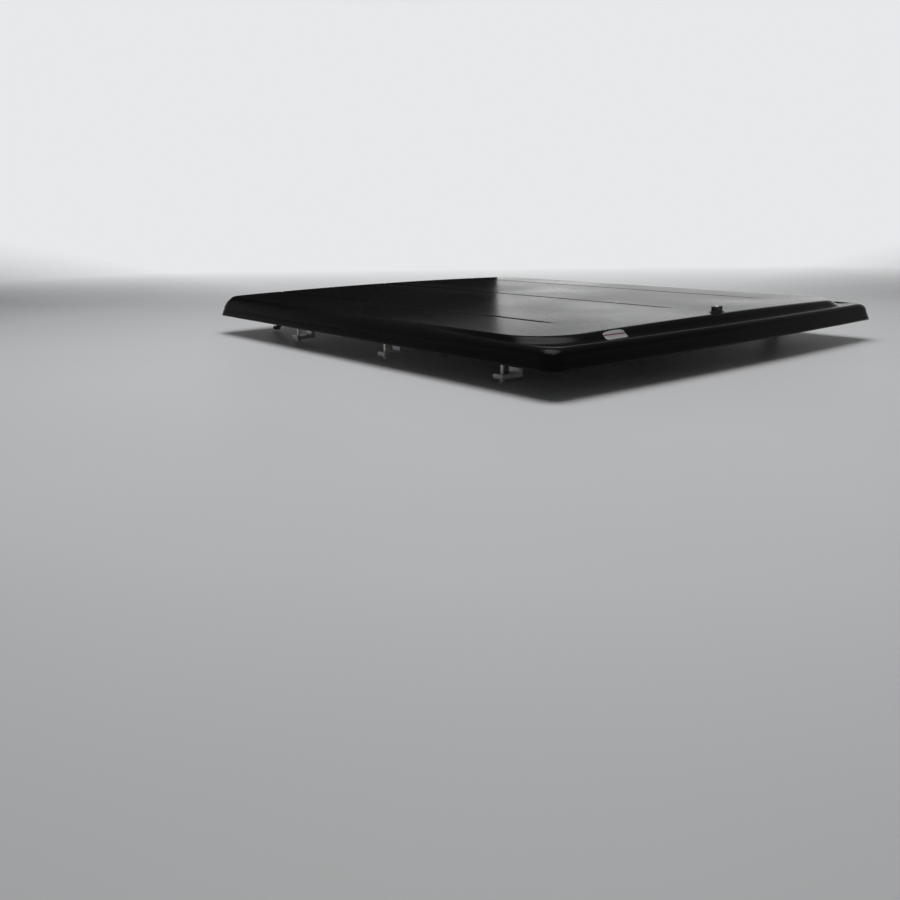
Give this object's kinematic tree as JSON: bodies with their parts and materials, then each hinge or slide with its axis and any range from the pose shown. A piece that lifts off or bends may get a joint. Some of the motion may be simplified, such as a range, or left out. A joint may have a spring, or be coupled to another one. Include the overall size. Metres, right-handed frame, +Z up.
{
  "type": "tonneau cover",
  "caption": "One-piece hinged hard tonneau cover for a pickup bed, with clamp-on rails, gas struts and a twist-handle lock.",
  "frame": {"origin": "centre of the bounding box's bottom, level with the heads of the clamp bolts", "axes": "+X to the truck's right, +Y towards its cab, +Z up"},
  "size_m": [1.64, 1.88, 0.173],
  "materials": {
    "skin": "satin",
    "core": "matte",
    "liner": "matte",
    "black_tube": "satin",
    "seal_rubber": "matte",
    "foam": "matte",
    "rail_aluminium": "satin",
    "cast_key": "matte",
    "hinge_steel": "satin",
    "zinc_steel": "satin",
    "black_plastic": "matte",
    "handle_black": "satin",
    "lock_metal": "polished",
    "cylinder_paint": "satin",
    "ram_chrome": "polished",
    "badge": "polished"
  },
  "bodies": {
    "bed_frame": {"side_rail_left": "rail_aluminium", "side_rail_right": "rail_aluminium", "header_rail": "rail_aluminium", "corner_key_left": "cast_key", "corner_key_right": "cast_key", "rail_end_caps": "black_plastic", "rail_foam_left": "foam", "rail_foam_right": "foam", "header_foam": "foam", "header_strip": "seal_rubber", "hinge_base_left": "hinge_steel", "hinge_base_right": "hinge_steel", "rail_screws": "zinc_steel", "strut_rail_bracket_left": "hinge_steel", "strut_rail_bracket_right": "hinge_steel", "striker_left": "hinge_steel", "striker_right": "hinge_steel", "clamp_rear_left": "rail_aluminium", "clamp_rear_right": "rail_aluminium", "clamp_middle_left": "rail_aluminium", "clamp_middle_right": "rail_aluminium", "clamp_front_left": "rail_aluminium", "clamp_front_right": "rail_aluminium", "clamp_bolts": "zinc_steel", "clamp_pads": "black_plastic"},
    "lid": {"lid_skin": "skin", "lid_core": "core", "lid_liner": "liner", "frame_tube_left": "black_tube", "frame_tube_right": "black_tube", "crossbar_rear": "black_tube", "crossbar_middle_rear": "black_tube", "crossbar_middle_front": "black_tube", "crossbar_front": "black_tube", "lid_seal_left": "seal_rubber", "lid_seal_right": "seal_rubber", "tailgate_seal": "seal_rubber", "hinge_leaf_left": "hinge_steel", "hinge_leaf_right": "hinge_steel", "leaf_screws": "zinc_steel", "strut_lid_bracket_left": "hinge_steel", "strut_lid_bracket_right": "hinge_steel", "escutcheon": "handle_black", "lock_barrel": "lock_metal", "barrel_nut": "hinge_steel", "rod_guides": "black_plastic", "badge_plate": "badge"},
    "handle": {"twist_handle": "handle_black", "crank_disc": "hinge_steel"},
    "key_plug": {"lock_plug": "lock_metal"},
    "latch_right": {"latch_rod_right": "zinc_steel"},
    "latch_left": {"latch_rod_left": "zinc_steel"},
    "pin_right": {"hinge_pin_right": "zinc_steel"},
    "pin_left": {"hinge_pin_left": "zinc_steel"},
    "cylinder_right": {"strut_cylinder_right": "cylinder_paint"},
    "cylinder_left": {"strut_cylinder_left": "cylinder_paint"},
    "ram_right": {"strut_rod_right": "ram_chrome", "strut_upper_socket_right": "black_plastic"},
    "ram_left": {"strut_rod_left": "ram_chrome", "strut_upper_socket_left": "black_plastic"}
  },
  "joints": [
    {"name": "lid_hinge", "type": "hinge", "parent": "bed_frame", "child": "lid", "pos_m": [0, 0.885, 0.133], "axis": [-1, 0, 0], "range_deg": [0, 28]},
    {"name": "handle_turn", "type": "hinge", "parent": "lid", "child": "handle", "pos_m": [0, -0.822, 0.16], "axis": [0, 0, -1], "range_deg": [0, 90]},
    {"name": "key_turn", "type": "hinge", "parent": "handle", "child": "key_plug", "pos_m": [0, -0.822, 0.165], "axis": [0, 0, -1], "range_deg": [0, 90]},
    {"name": "latch_slide_right", "type": "slide", "parent": "lid", "child": "latch_right", "axis": [1, 0, 0], "range_m": [0, 0.0228]},
    {"name": "pin_slide_right", "type": "slide", "parent": "bed_frame", "child": "pin_right", "axis": [-1, 0, 0], "range_m": [0, 0.03]},
    {"name": "strut_swing_right", "type": "hinge", "parent": "bed_frame", "child": "cylinder_right", "pos_m": [0.615, 0.845, 0.013], "axis": [-1, 0, 0], "range_deg": [0, 25.8]},
    {"name": "strut_slide_right", "type": "slide", "parent": "cylinder_right", "child": "ram_right", "axis": [0, -0.9374, 0.3482], "range_m": [0, 0.0605]},
    {"name": "latch_slide_left", "type": "slide", "parent": "lid", "child": "latch_left", "axis": [-1, 0, 0], "range_m": [0, 0.0228]},
    {"name": "pin_slide_left", "type": "slide", "parent": "bed_frame", "child": "pin_left", "axis": [1, 0, 0], "range_m": [0, 0.03]},
    {"name": "strut_swing_left", "type": "hinge", "parent": "bed_frame", "child": "cylinder_left", "pos_m": [-0.615, 0.845, 0.013], "axis": [-1, 0, 0], "range_deg": [0, 25.8]},
    {"name": "strut_slide_left", "type": "slide", "parent": "cylinder_left", "child": "ram_left", "axis": [0, -0.9374, 0.3482], "range_m": [0, 0.0605]}
  ],
  "couplings": [
    {"joint": "strut_swing_right", "follows": "lid_hinge", "ratio": 0.9152},
    {"joint": "strut_slide_right", "follows": "lid_hinge", "m_per_rad": 0.123},
    {"joint": "latch_slide_right", "follows": "handle_turn", "m_per_rad": 0.014405},
    {"joint": "strut_swing_left", "follows": "lid_hinge", "ratio": 0.9152},
    {"joint": "strut_slide_left", "follows": "lid_hinge", "m_per_rad": 0.123},
    {"joint": "latch_slide_left", "follows": "handle_turn", "m_per_rad": 0.014405}
  ]
}
